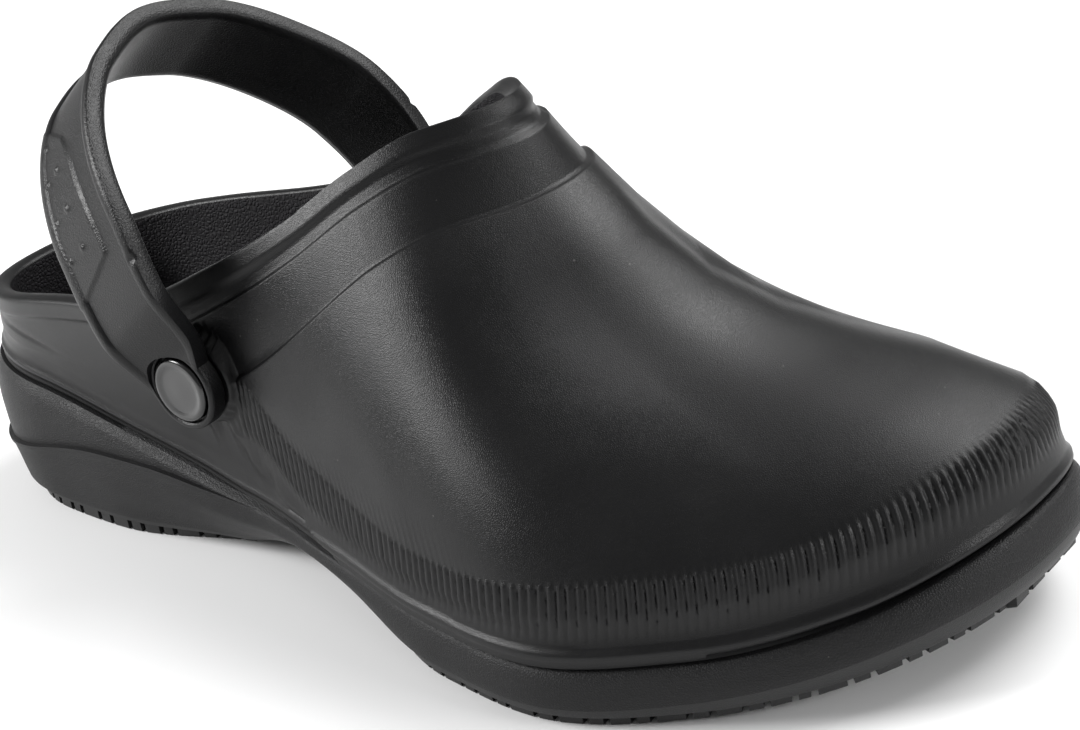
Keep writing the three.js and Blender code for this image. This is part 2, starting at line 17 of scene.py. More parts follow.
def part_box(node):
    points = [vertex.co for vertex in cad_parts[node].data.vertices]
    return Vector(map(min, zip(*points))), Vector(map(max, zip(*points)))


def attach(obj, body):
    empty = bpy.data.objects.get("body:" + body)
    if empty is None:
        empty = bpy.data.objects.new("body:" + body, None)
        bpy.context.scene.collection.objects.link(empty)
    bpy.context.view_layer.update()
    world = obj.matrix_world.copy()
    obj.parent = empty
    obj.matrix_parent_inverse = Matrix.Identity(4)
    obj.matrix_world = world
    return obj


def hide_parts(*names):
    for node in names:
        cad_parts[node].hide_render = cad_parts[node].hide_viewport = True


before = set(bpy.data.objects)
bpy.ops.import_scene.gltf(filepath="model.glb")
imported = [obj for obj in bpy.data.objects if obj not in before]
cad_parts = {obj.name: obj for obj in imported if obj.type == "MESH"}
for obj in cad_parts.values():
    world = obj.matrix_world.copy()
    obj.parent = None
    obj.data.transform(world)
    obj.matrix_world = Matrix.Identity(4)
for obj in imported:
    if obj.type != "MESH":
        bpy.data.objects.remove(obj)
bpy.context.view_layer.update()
print("nodes:", sorted(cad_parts))

# %% [markdown]
# ## Where the shoe stands
# The shoe is drawn from the heel's back (x = 0) to the toe. The two rivets lie on one axis, so the middle
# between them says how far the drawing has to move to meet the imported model.

# %% Shift from drawing to model
pivot_x = 106.5
pivot_z = 53.0
stud_boxes = [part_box(f"rivet_stud_{side}") for side in ("lateral", "medial")]
rivet_middle = sum((low + high for low, high in stud_boxes), Vector()) / 4 * 1000
shift = np.array([rivet_middle.x - pivot_x, rivet_middle.y, rivet_middle.z - pivot_z])
print("shift in mm:", shift.round(3))

# %% [markdown]
# ## Smooth curves from short tables
# A last is given by sections. Blender's own curves could join them, but they bulge between two rows, and a
# bulge in a sole would show. Here the slope at each row is the harmonic mean of its neighbours, which keeps
# the curve between its rows.


# %% Curves
def bend(xs, ys, x):
    xs = np.asarray(xs, float)
    ys = np.asarray(ys, float)
    x = np.asarray(x, float)
    if ys.ndim == 1:
        ys = ys.reshape((-1,) + (1,) * x.ndim)
    x = np.broadcast_arrays(x, ys[0])[0]
    ys = np.broadcast_to(ys, (len(xs),) + x.shape)
    steps = np.diff(xs).reshape((-1,) + (1,) * x.ndim)
    slopes = np.diff(ys, axis=0) / steps
    first = 2 * steps[1:] + steps[:-1]
    second = steps[1:] + 2 * steps[:-1]
    same = slopes[:-1] * slopes[1:] > 0
    before = np.where(same, slopes[:-1], 1)
    after = np.where(same, slopes[1:], 1)
    middle = np.where(same, (first + second) / (first / before + second / after), 0)
    tangents = np.concatenate([slopes[:1], middle, slopes[-1:]])
    i = np.clip(np.searchsorted(xs, x, side="right") - 1, 0, len(xs) - 2)
    step = xs[i + 1] - xs[i]
    t = np.clip((x - xs[i]) / step, 0, 1)
    u = 1 - t
    y0, y1 = (np.take_along_axis(ys, at[None], 0)[0] for at in (i, i + 1))
    m0, m1 = (np.take_along_axis(tangents, at[None], 0)[0] for at in (i, i + 1))
    return y0 * (1 + 2 * t) * u * u + y1 * (3 - 2 * t) * t * t + step * t * u * (m0 * u - m1 * t)


def smooth(start, end, x):
    t = np.clip((x - start) / (end - start), 0, 1)
    return t * t * (3 - 2 * t)


def mix(a, b, t):
    return a + (b - a) * t


def crown(x):
    """A half circle from -1 to 1, and nothing outside."""
    return np.sqrt(np.clip(1 - x * x, 0, 1))


def columns_of(names, rows):
    return {name: [row[i] for row in rows] for i, name in enumerate(names)}


# %% The last: driving sizes and sections
shoe_length = 300
ball_width = 116
heel_rise = 41
toe_swing = 18
toe_spring = 13.9
arch_rise = 7
heel_bevel = 4
upper_wall = 4
clearance = 0.3

last = columns_of(
    ["along", "lateral", "medial", "seam", "footbed", "collar"],
    [
        [0.0, 0.319, 0.319, 1.0, 0.73, 0.0],
        [0.12, 0.319, 0.316, 0.905, 0.64, 0.169],
        [0.25, 0.322, 0.318, 0.69, 0.52, 0.38],
        [0.38, 0.338, 0.33, 0.498, 0.41, 0.563],
        [0.5, 0.412, 0.362, 0.42, 0.34, 0.697],
        [0.62, 0.502, 0.438, 0.383, 0.295, 0.802],
        [0.72, 0.549, 0.462, 0.37, 0.285, 0.874],
        [0.82, 0.509, 0.458, 0.402, 0.305, 0.93],
        [0.91, 0.487, 0.452, 0.534, 0.41, 0.972],
        [1.0, 0.466, 0.446, 0.81, 0.66, 1.0],
    ],
)


def of_last(name, share):
    return bend(last["along"], last[name], share)


def seam_height(share):
    return heel_rise * of_last("seam", share)


def footbed_height(share):
    return heel_rise * of_last("footbed", share)


# %% The outline seen from above
toe_start = 0.69
heel_end = 0.13
swing_start = 0.55
toe_roundness = 2.4
heel_roundness = 2.2


def ends(share, rear, front, rear_power, front_power):
    back = np.clip((rear - share) / rear, 0, 1)
    past = np.clip((share - front) / (1 - front), 0, 1)
    rounded = (1 - back**rear_power) ** (1 / rear_power)
    return rounded * (1 - past**front_power) ** (1 / front_power)


def plan_point(share, side, inset):
    """A point of the outline; share runs from heel to toe, side is -1 lateral and 1 medial."""
    rounding = ends(share, heel_end, toe_start, heel_roundness, toe_roundness)
    half_width = np.where(side < 0, of_last("lateral", share), of_last("medial", share))
    swing = toe_swing * np.clip((share - swing_start) / (1 - swing_start), 0, 1) ** 2
    rear = np.clip(1 - share / heel_end, 0, 1) ** 1.5
    front = np.clip((share - toe_start) / (1 - toe_start), 0, 1) ** 1.5
    x = share * shoe_length + inset * (rear - front)
    return x, swing + side * (ball_width * half_width - inset) * rounding


# %% The tread line seen from the side
arch_start = 0.33
arch_end = 0.6
spring_start = 0.75
bevel_end = 0.07


def arch_shape(share):
    middle = (arch_start + arch_end) / 2
    return 1 - smooth(0, arch_end - middle, np.abs(share - middle))


def tread_height(share):
    share = np.clip(share, 0, 1)
    spring = toe_spring * np.clip((share - spring_start) / (1 - spring_start), 0, 1) ** 2
    bevel = heel_bevel * np.clip(1 - share / bevel_end, 0, 1) ** 2
    return spring + bevel + arch_rise * arch_shape(share)


# %% [markdown]
# ## Columns round the shoe
# A shell is a stack of closed rings. Each ring starts at the heel, runs along the lateral side to the toe
# and comes back on the medial side. An even grid fine enough for the ribs would waste most of its faces on
# the plain heel, so the columns are spaced by a wanted step that differs along the shoe.


# %% Ring columns
def ring_columns(spacing):
    """Angles, shares and sides of the columns, spacing(share) mm apart along the seam."""
    angle = np.linspace(0, math.pi, 6001)
    share = (1 - np.cos(angle)) / 2
    x, y = plan_point(share, -np.ones_like(share), 4.0)
    arc = np.concatenate([[0], np.cumsum(np.hypot(np.diff(x), np.diff(y)))])
    need = np.concatenate([[0], np.cumsum(np.diff(arc) / spacing(share[1:]))])
    half = int(need[-1])
    lateral = np.interp(np.linspace(0, need[-1], half + 1), need, angle)
    angles = np.concatenate([lateral, 2 * math.pi - lateral[-2:0:-1]])
    from_toe = np.interp(np.where(angles > math.pi, 2 * math.pi - angles, angles), angle, arc[-1] - arc)
    return (1 - np.cos(angles)) / 2, np.where(np.arange(2 * half) <= half, -1.0, 1.0), from_toe


def bands(rings, columns, closed=False):
    """Quads between neighbouring rings, as a list of index rows."""
    k = np.arange(columns)
    n = (k + 1) % columns
    made = []
    for j in range(rings if closed else rings - 1):
        low = j * columns
        high = ((j + 1) % rings) * columns
        made.append(np.stack([low + k, low + n, high + n, high + k], 1))
    return np.concatenate(made).tolist()


def ladder(start, columns):
    """Closes a ring by faces that run straight from one side of the shoe to the other."""
    made = []
    for k in range(columns // 2):
        face = [start + k, start + k + 1, start + columns - k - 1, start + (columns - k) % columns]
        made.append(list(dict.fromkeys(face)))
    return made


def make_piece(name, points, faces, finish, nodes, sharp=38):
    mesh = bpy.data.meshes.new(name)
    mesh.from_pydata(((np.asarray(points).reshape(-1, 3) + shift) / 1000).tolist(), [], faces)
    shaped = bmesh.new()
    shaped.from_mesh(mesh)
    bmesh.ops.recalc_face_normals(shaped, faces=shaped.faces)
    shaped.to_mesh(mesh)
    shaped.free()
    mesh.shade_smooth()
    mesh.set_sharp_from_angle(angle=math.radians(sharp))
    mesh.materials.append(finish)
    piece = bpy.data.objects.new(name, mesh)
    bpy.context.scene.collection.objects.link(piece)
    if nodes:
        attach(piece, "root")
        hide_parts(*nodes)
    triangles = sum(len(face.vertices) - 2 for face in mesh.polygons)
    print(f"{name}: {triangles} triangles")
    return piece


# %% [markdown]
# ## Finishes
# All the foam is EVA, moulded with a leather grain cut into the mould. Carbon black makes it near black; the
# skin of the mould decides how satin it is. Grain is a network of small flat cells. It could be an image,
# but an image stretches over a rounded toe, so it comes from the distance to a cell's edge in space, at the
# cells' real size.


# %% Colour and node helpers
def paint(hex_colour):
    """An sRGB hex colour as linear RGBA."""
    parts = [int(hex_colour[i:i + 2], 16) / 255 for i in (1, 3, 5)]
    return [*(p / 12.92 if p <= 0.04045 else ((p + 0.055) / 1.055) ** 2.4 for p in parts), 1.0]


def add(tree, kind, inputs=None, **settings):
    node = tree.nodes.new(kind)
    for name, value in settings.items():
        setattr(node, name, value)
    for name, value in (inputs or {}).items():
        if isinstance(value, bpy.types.NodeSocket):
            tree.links.new(value, node.inputs[name])
        else:
            node.inputs[name].default_value = value
    return node


def per_metre(size_mm):
    """The texture scale that repeats each size_mm."""
    return 1000 / size_mm


# %% Moulded finish
def moulded(name, dark, light, rough, grain_mm, grain_deep, fine_deep, ior=1.36, dust=0.0, coat=0.0):
    finish = bpy.data.materials.new(name)
    finish.use_nodes = True
    tree = finish.node_tree
    tree.nodes.clear()
    place = add(tree, "ShaderNodeTexCoord").outputs["Object"]
    cloud = add(tree, "ShaderNodeTexNoise", {"Vector": place, "Scale": per_metre(28), "Detail": 3.0})
    cells = add(
        tree, "ShaderNodeTexVoronoi",
        {"Vector": place, "Scale": per_metre(grain_mm), "Randomness": 0.9},
        feature="DISTANCE_TO_EDGE",
    )
    plump = add(
        tree, "ShaderNodeMapRange",
        {"Value": cells.outputs["Distance"], "From Min": 0.0, "From Max": 0.32},
        interpolation_type="SMOOTHSTEP",
    )
    fine = add(tree, "ShaderNodeTexNoise", {"Vector": place, "Scale": per_metre(0.35), "Detail": 2.0})
    speck = add(tree, "ShaderNodeTexVoronoi", {"Vector": place, "Scale": per_metre(7.0)})
    dot = add(
        tree, "ShaderNodeMapRange",
        {"Value": speck.outputs["Distance"], "From Min": 0.02, "From Max": 0.035,
         "To Min": dust, "To Max": 0.0},
    )
    tone = add(
        tree, "ShaderNodeMix",
        {0: cloud.outputs["Fac"], 6: paint(dark), 7: paint(light)},
        data_type="RGBA",
    )
    # Painted shade: the colour goes to the dark tone at each grain cell's edge, in the grooves between the
    # cells, where shade falls.
    painted_groove_shade = add(
        tree, "ShaderNodeMix",
        {0: plump.outputs["Result"], 6: paint(dark), 7: tone.outputs[2]},
        data_type="RGBA",
    )
    dusty = add(
        tree, "ShaderNodeMix",
        {0: dot.outputs["Result"], 6: painted_groove_shade.outputs[2], 7: paint("#8d8b88")},
        data_type="RGBA",
    )
    gloss = add(
        tree, "ShaderNodeMapRange",
        {"Value": cloud.outputs["Fac"], "From Min": 0.3, "From Max": 0.7,
         "To Min": rough - 0.05, "To Max": rough + 0.06},
    )
    low = add(
        tree, "ShaderNodeBump",
        {"Height": fine.outputs["Fac"], "Distance": fine_deep / 1000, "Strength": 1.0},
    )
    high = add(
        tree, "ShaderNodeBump",
        {"Height": plump.outputs["Result"], "Distance": grain_deep / 1000, "Strength": 1.0,
         "Normal": low.outputs["Normal"]},
    )
    shader = add(
        tree, "ShaderNodeBsdfPrincipled",
        {"Base Color": dusty.outputs[2], "Roughness": gloss.outputs["Result"], "IOR": ior,
         "Normal": high.outputs["Normal"], "Coat Weight": coat, "Coat Roughness": 0.3},
    )
    add(tree, "ShaderNodeOutputMaterial", {"Surface": shader.outputs["BSDF"]})
    return finish


# %% The shoe's finishes
# Satin skin with a fine leather grain, cells of about 0.4 mm.
upper_eva = moulded("EVA foam, satin leather grain", "#0b0b0c", "#101011", 0.36, 0.42, 0.022, 0.01, dust=0.3)
# The strap's grain is a pebble of about 0.7 mm.
strap_eva = moulded("EVA foam, pebble grain", "#0b0b0c", "#111112", 0.38, 0.7, 0.035, 0.012, dust=0.25)
# A sole is matte and coarse, because its mould is sand blasted.
sole_eva = moulded("EVA foam, sand blasted", "#101011", "#19191a", 0.5, 0.6, 0.06, 0.03, dust=0.25)
# The sock sheet is open foam with a nubby face of 2 mm; charcoal with a trace of purple.
sock_eva = moulded("EVA foam, nubby charcoal", "#141315", "#262328", 0.72, 1.1, 0.22, 0.05)
# Nitrile rubber: darker, denser, with a slight grip sheen.
tread_rubber = moulded(
    "nitrile rubber, moulded", "#0c0c0d", "#151516", 0.5, 0.5, 0.03, 0.02, ior=1.52, dust=0.3,
)
# Injection moulded ABS straight from a polished tool.
rivet_abs = moulded("ABS plastic, polished", "#060607", "#0a0a0b", 0.16, 3.0, 0.0, 0.004, ior=1.54, coat=0.3)
print("finishes:", len(bpy.data.materials))

# %% [markdown]
# ## The upper
# One hollow shell of foam. It could be a sculpted block made hollow by a modifier, but the wall, the rim and
# the bands follow the last, so each line of the last runs from the seam up to the collar, and a table says
# how fast it rises. Bead, ribs, panel and collar bands are steps in the wall, added along the normal.

# %% Lines from seam to collar
collar_back = 6.5
collar_front = 176
collar_half = 36
collar_top = 110
collar_drift = 8
run_roots = np.sqrt([0, 0.03, 0.1, 0.22, 0.42, 0.65, 0.85, 1])

lines = columns_of(
    ["along", "rise03", "rise10", "rise22", "rise42", "rise65", "rise85"],
    [
        [0.0, 0.03, 0.1, 0.22, 0.42, 0.65, 0.85],
        [0.25, 0.03, 0.1, 0.22, 0.42, 0.65, 0.85],
        [0.38, 0.05, 0.14, 0.29, 0.5, 0.72, 0.89],
        [0.5, 0.09, 0.21, 0.37, 0.58, 0.77, 0.91],
        [0.62, 0.14, 0.265, 0.4, 0.57, 0.74, 0.895],
        [0.72, 0.145, 0.265, 0.38, 0.52, 0.7, 0.87],
        [0.82, 0.15, 0.255, 0.335, 0.44, 0.61, 0.82],
        [0.91, 0.17, 0.255, 0.305, 0.37, 0.515, 0.76],
        [1.0, 0.175, 0.24, 0.27, 0.31, 0.44, 0.705],
    ],
)
collar = columns_of(
    ["along", "width", "height"],
    [
        [0.0, 0.82, 0.505],
        [0.08, 0.85, 0.525],
        [0.26, 0.96, 0.572],
        [0.475, 1.05, 0.623],
        [0.62, 1.04, 0.718],
        [0.75, 1.0, 0.825],
        [0.85, 0.98, 0.93],
        [0.93, 0.98, 0.995],
        [1.0, 0.96, 1.015],
    ],
)


def collar_point(share, side):
    c = of_last("collar", share)
    rounding = ends(c, 0.2, 0.45, 2.2, 2.0)
    width = collar_half * bend(collar["along"], collar["width"], c)
    y = collar_drift * c * c + side * width * rounding
    return mix(collar_back, collar_front, c), y, collar_top * bend(collar["along"], collar["height"], c)


def upper_lines(share, side, stations=260):
    """Points of every line, and how far each lies from the seam."""
    x, y = plan_point(share, side, bend([0, 0.35, 0.6, 1], [5.8, 5, 3.8, 6.4], share))
    foot = np.stack([x, y, seam_height(x / shoe_length) + clearance], -1)
    top = np.stack(collar_point(share, side), -1)
    rises = [bend(lines["along"], lines[name], share) for name in list(lines)[1:]]
    rises = np.stack([np.zeros_like(share), *rises, np.ones_like(share)])[:, None, :]
    root = np.linspace(0, 1, stations)[:, None]
    rise = bend(run_roots, rises, root)
    run = np.broadcast_to(root**2, rise.shape)
    points = np.stack([mix(foot[:, i], top[:, i], run if i < 2 else rise) for i in range(3)], -1)
    steps = np.linalg.norm(np.diff(points, axis=0), axis=2)
    return points, np.concatenate([np.zeros((1, len(share))), np.cumsum(steps, 0)])


# %% Rows: where bead, ribs, panel and rim lie on a line
rim_lip = 0.9
rim_lip_depth = 5
rim_crown = 1.1
foot_bead_height = 3.6
band_width = 8
band_step = 1.2
panel_step = 1.3
step_run = 1.4

features = columns_of(
    ["along", "rib_low", "rib_high", "panel"],
    [
        [0.0, 26, 38, 26],
        [0.42, 18, 38, 25],
        [0.47, 8, 26, 24.5],
        [0.55, 5.5, 19.5, 23.5],
        [0.62, 5.3, 16.5, 23],
        [0.8, 5.8, 18, 22.5],
        [1.0, 8, 18, 22],
    ],
)
rows_between = [3, 4, 3, 3, 6, 4, 3, 3, 4, 4, 4, 4, 3, 3, 4]


def of_feature(name, share):
    return bend(features["along"], features[name], share)


def upper_rows(total, share):
    low = np.minimum(of_feature("rib_low", share), total * 0.4)
    bead = np.minimum(foot_bead_height, low * 0.7)
    rim = np.minimum(rim_lip_depth, total * 0.25)
    band = total - np.minimum(band_width, total * 0.4)
    panel = np.minimum(band - step_run * 2, total - of_feature("panel", share))
    high = np.minimum(of_feature("rib_high", share), panel - step_run * 2)
    rows = [
        0 * total, bead * 0.5, bead, low, low + 0.8, high - 1.8, high, mix(high, panel - step_run, 0.5),
        panel - step_run, panel, mix(panel, band - step_run, 0.5), band - step_run,
        band, total - rim, total - rim * 0.6, total,
    ]
    least = total / 50
    for i in range(1, len(rows)):
        rows[i] = np.maximum(rows[i], rows[i - 1] + least)
    rows[-1] = total
    for i in range(len(rows) - 2, -1, -1):
        rows[i] = np.minimum(rows[i], rows[i + 1] - least)
    dense = [rows[0]]
    for before, after, count in zip(rows, rows[1:], rows_between):
        dense += [mix(before, after, (i + 1) / count) for i in range(count)]
    return np.stack(dense)


# %% [markdown]
# ## Relief of the upper
# The rib band is about a hundred leaning ribs, 2 mm apart. Each rib is a rounded bar with a rounded upper end
# that stands proud of the vamp, and it runs out into a hollow strip above the foot bead. Bump could draw
# them, but they catch the light at the shoe's outline, so they are made as real form by one repeating wave.

# %% Relief
rib_pitch = 2.1
rib_lean = 0.24
rib_proud = 0.35
rib_deep = 0.75
panel_rear_run = 0.006
band_rear = 0.36


def panel_rear(distance):
    return bend([0, 5.5, 12, 20, 30, 42], [0.5, 0.442, 0.402, 0.383, 0.392, 0.436], distance)


def relief(distance, total, share, from_toe):
    from_collar = total - distance
    rear = panel_rear(distance)
    in_panel = smooth(rear - panel_rear_run, rear + panel_rear_run, share)
    in_band = smooth(band_rear - 0.05, band_rear + 0.03, share)
    bead = 0.95 * crown((distance - 2.35) / 1.35) + 0.75 * crown((distance - 0.2) / 0.75)
    rim_depth = np.minimum(rim_lip_depth, total * 0.25)
    rim = rim_lip * (1 - smooth(rim_depth * 0.75, rim_depth, from_collar))
    first = band_step * in_band * smooth(band_width, band_width + step_run * 0.7, from_collar)
    edge = of_feature("panel", share)
    second = panel_step * in_panel * smooth(edge, edge + step_run * 0.7, from_collar)
    lip = 0.3 * np.exp(-(((share - rear - 0.009) * shoe_length / 1.6) ** 2))
    lip = lip * smooth(3, 8, distance) * smooth(edge + 1, edge + 4, from_collar)
    low = of_feature("rib_low", share)
    high = of_feature("rib_high", share)
    across = 2 * (((from_toe + rib_lean * distance) / rib_pitch) % 1) - 1
    tip = high - 0.9 * (1 - crown(across * 0.97))
    body = smooth(low - 1, low + 4, distance) * (1 - smooth(tip - 0.55, tip, distance))
    ribs = body * ((rib_deep + rib_proud) * crown(across * 0.96) - rib_deep)
    inside_panel = smooth(rear + 0.01, rear + 0.03, share)
    strip = 0.55 * np.sin(math.pi * np.clip((distance - foot_bead_height) / (low + 1), 0, 1))
    grooves = heel_grooves(distance, share)
    return bead + rim + first + second + lip + (ribs - strip) * inside_panel - grooves


def heel_grooves(distance, share):
    """Two level grooves that run round the heel's back, where the counter was split in the mould."""
    near_heel = 1 - smooth(0.1, 0.2, share)
    return near_heel * sum(0.5 * np.exp(-(((distance - at) / 0.7) ** 2)) for at in (7.5, 13.0))


# %% [markdown]
# ## Creases
# Foam creases softly where the foot bends it. A noise would put folds anywhere, so each crease is placed one
# by
# one: a shallow trough across the vamp or the waist, with its place, length, width and depth in
# millimetres, and a lower ridge beside it.

# %% Creases placed one by one
creases = columns_of(
    ["x", "y", "z", "long", "wide", "deep", "turn"],
    [
        [196, 16, 84, 26, 5.5, 0.42, 80],
        [209, 20, 77, 30, 6.0, 0.55, 84],
        [224, 20, 68, 26, 5.0, 0.32, 96],
        [150, -40, 56, 15, 4.5, 0.35, 35],
        [163, -46, 48, 13, 4.0, 0.28, 48],
        [158, 44, 50, 14, 4.5, 0.32, -35],
    ],
)


def crease_depth(points):
    depth = np.zeros(points.shape[:-1])
    for x, y, z, long, wide, deep, turn in zip(*creases.values()):
        away = points - np.array([x, y, z])
        turned = math.radians(turn)
        side = away[..., 1] if abs(y) < 30 else away[..., 2]
        run = away[..., 0] * math.cos(turned) + side * math.sin(turned)
        over = side * math.cos(turned) - away[..., 0] * math.sin(turned)
        near = np.exp(-(np.linalg.norm(away, axis=-1) / long / 1.3) ** 4) * np.exp(-(run / long) ** 2)
        trough = np.exp(-(over / wide) ** 2) - 0.5 * np.exp(-((np.abs(over) - wide * 1.7) / wide) ** 2)
        depth += deep * near * trough
    return depth


# %% Seats for the strap
strap_half_gap = 41.7
strap_thickness = 4.8
strap_width = 29
strap_end_radius = strap_width * 0.36
seat_out = strap_half_gap - strap_thickness / 2 - clearance
seat_thickness = 6.4


def seat(points, side, level, radius):
    """Draws the wall to a flat round seat about the rivet, level mm from the middle plane."""
    around = np.hypot(points[..., 0] - pivot_x, points[..., 2] - pivot_z)
    pull = 1 - smooth(radius - 0.5, radius + 0.8, around)
    points[..., 1] = mix(points[..., 1], side * level, pull)
    return points


# %% Building the upper
def upper_spacing(share):
    coarse = mix(2.6, 0.85, smooth(0.24, 0.28, share))
    return mix(coarse, 0.37, smooth(0.37, 0.4, share))


share, side, from_toe = ring_columns(upper_spacing)
line_points, line_lengths = upper_lines(share, side)
total = line_lengths[-1]


def on_lines(distances):
    made = np.empty(distances.shape + (3,))
    for k in range(len(share)):
        for axis in range(3):
            made[:, k, axis] = np.interp(distances[:, k], line_lengths[:, k], line_points[:, k, axis])
    return made


def normals_of(points):
    around = np.roll(points, -1, 1) - np.roll(points, 1, 1)
    up = np.gradient(points, axis=0)
    normal = np.cross(around, up)
    return normal / np.linalg.norm(normal, axis=2, keepdims=True)


outer_distance = upper_rows(total, share)
outer = on_lines(outer_distance)
outer_normal = normals_of(outer)
height = relief(outer_distance, total, share, from_toe) - crease_depth(outer)
outer_skin = outer + outer_normal * height[..., None]
outer_skin = seat(outer_skin, side, seat_out, strap_end_radius + 0.9)
inner_shares = np.array([1, 0.95, 0.88, 0.8, 0.68, 0.55, 0.42, 0.28, 0.14, 0])[:, None]
inner = on_lines(total * inner_shares)
# The inner rows run down from the rim, so their normals point into the shoe.
inner_skin = inner + normals_of(inner) * upper_wall
inner_skin = seat(inner_skin, side, seat_out - seat_thickness, 7.6)
rim_turn = np.radians([28, 55, 90, 125, 152])[:, None, None]
rim_middle = (rim_lip - upper_wall) / 2
rim_half = (rim_lip + upper_wall) / 2
rim_rings = outer[-1] + outer_normal[-1] * (rim_middle + rim_half * np.cos(rim_turn))
rim_rings[..., 2] += rim_crown * np.sin(rim_turn[..., 0])
for skin, row in ((outer_skin, 0), (inner_skin, -1)):
    skin[row, :, 2] = seam_height(skin[row, :, 0] / shoe_length) + clearance
upper_points = np.concatenate([outer_skin, rim_rings, inner_skin])
upper = make_piece(
    "clog_upper", upper_points, bands(len(upper_points), len(share), closed=True),
    upper_eva, ["upper"], sharp=60,
)
upper.data.materials.append(sock_eva)
lining_from = len(outer_skin) + len(rim_rings)
for face in upper.data.polygons:
    if min(face.vertices) >= lining_from * len(share):
        face.material_index = 1
print("rim thickness in mm:", round(rim_lip + upper_wall, 2))

# %% [markdown]
# ## The sole
# The midsole is a thick foam block with a sculpted side: a pod round the heel under a rounded ledge, a waist
# drawn in over the arch, and a bevel under the toe. An outline pushed straight up would lose all three, so
# the side is a table of insets by height at five sections.

# %% Side of the sole
sole_side = columns_of(
    ["up", "heel", "quarter", "waist", "ball", "toe"],
    [
        [0.0, 7.0, 1.5, 13.5, 2.4, 5.0],
        [0.12, 5.0, 1.0, 9.0, 1.2, 2.6],
        [0.3, 3.4, 0.4, 6.0, 0.4, 0.4],
        [0.5, 1.8, 0.0, 3.0, 0.0, 0.0],
        [0.72, 1.4, 0.4, 0.9, 0.3, 0.9],
        [0.92, 2.6, 1.6, 1.4, 1.1, 2.6],
        [1.0, 4.2, 3.4, 3.4, 2.6, 4.8],
    ],
)
lug_height = 3.2
arch_inset = 9
rubber_inset = 0.6
rim_width = 6.5
dish_slope = 2
pod_step = 0.9


def side_inset(up, at):
    rows = [bend(sole_side["up"], sole_side[name], up) for name in list(sole_side)[1:]]
    return bend([0, 0.2, 0.38, 0.62, 1], np.stack(rows), at)


def rubber_thickness(at):
    return bend([0, 0.15, 0.72, 0.9, 1], [3.2, 2.2, 2.2, 3.6, 5.0], at)


def ledge_up(at):
    return bend([0, 0.1, 0.2, 0.3, 0.4, 1], [0.36, 0.52, 0.74, 0.88, 0.94, 0.94], at)


# %% Midsole
def midsole_side(level, proud):
    """One ring of the side; level(share) is its share of the height."""
    inset = side_inset(level(sole_share), sole_share)
    inset = inset - proud * pod_step * (1 - smooth(0.28, 0.4, sole_share))
    x, y = plan_point(sole_share, sole_which, inset)
    at = x / shoe_length
    return np.stack([x, y, mix(tread_height(at), seam_height(at), level(at))], -1)


def foam_start(at):
    return (lug_height + rubber_thickness(at) + clearance) / (seam_height(at) - tread_height(at))


def sole_top(inset, height):
    x, y = plan_point(sole_share, sole_which, side_inset(np.ones_like(sole_share), sole_share) + inset)
    return np.stack([x, y, height(x / shoe_length)], -1)


sole_share, sole_which, sole_from_toe = ring_columns(lambda at: 1.3 + 0 * at)
rings = []
for t in np.linspace(0, 1, 17):
    rounded = 1 + 0.55 * crown((t - 0.96) / 0.09)
    rings.append(midsole_side(lambda at, t=t: mix(foam_start(at), ledge_up(at), t), rounded))
for t in [0.012, 0.03, *np.linspace(0.07, 0.96, 15), 1]:
    rings.append(midsole_side(lambda at, t=t: mix(ledge_up(at), 1, t), 0))
rings.append(sole_top(rim_width, seam_height))
rings.append(sole_top(rim_width + dish_slope, footbed_height))
midsole_faces = bands(len(rings), len(sole_share))
midsole_faces += ladder(0, len(sole_share)) + ladder((len(rings) - 1) * len(sole_share), len(sole_share))
make_piece("clog_midsole", rings, midsole_faces, sole_eva, ["midsole"], sharp=50)


# %% [markdown]
# ## Outsole
# A slip-resistant tread is many small blocks with grooves that let water out. Blocks along the edge follow
# the outline and differ in width; the ones inside stand in staggered rows. The arch has none. A displaced
# plate would round their corners, so each block is a small solid of its own, sunk into the plate.

# %% Blocks
edge_widths = [5.4, 3.0, 4.4, 2.6, 6.2, 3.4]
edge_gap = 1.5
edge_deep = 6.5
field_pitch = 7.4
field_block = 5.4
block_root = 0.8
block_chamfer = 0.35
heel_lugs_end = 0.335
ball_lugs_start = 0.56


def has_lugs(at):
    return at < heel_lugs_end or at > ball_lugs_start


def block(corners):
    """A tread block on four or more corners (x, y), with a chamfered foot."""
    corners = np.asarray(corners, float)
    middle = corners.mean(0)
    reach = np.linalg.norm(corners - middle, axis=1, keepdims=True)
    small = middle + (corners - middle) * (1 - block_chamfer / reach)
    foot = tread_height(corners[:, 0] / shoe_length)
    made = []
    for plan, lift in ((small, 0), (corners, block_chamfer), (corners, lug_height + block_root)):
        made.append(np.column_stack([plan, foot + lift]))
    count = len(corners)
    start = len(tread_points)
    tread_points.extend(np.concatenate(made).tolist())
    tread_faces.append([start + i for i in range(count)])
    tread_faces.append([start + 2 * count + i for i in range(count)])
    for j in range(2):
        for i in range(count):
            n = (i + 1) % count
            low = start + j * count
            tread_faces.append([low + i, low + n, low + count + n, low + count + i])


# %% Plate and its blocks
def rubber_ring(up, drop):
    rise = (drop + up * rubber_thickness(sole_share)) / (seam_height(sole_share) - tread_height(sole_share))
    inset = side_inset(rise, sole_share) + rubber_inset + arch_inset * arch_shape(sole_share)
    x, y = plan_point(sole_share, sole_which, inset)
    at = x / shoe_length
    return np.stack([x, y, tread_height(at) + drop + up * rubber_thickness(at)], -1)


plate = [rubber_ring(t, lug_height) for t in (0, 0.12, 0.5, 0.88, 1)]
tread_points = np.concatenate(plate).tolist()
tread_faces = bands(len(plate), len(sole_share))
tread_faces += ladder(0, len(sole_share)) + ladder((len(plate) - 1) * len(sole_share), len(sole_share))

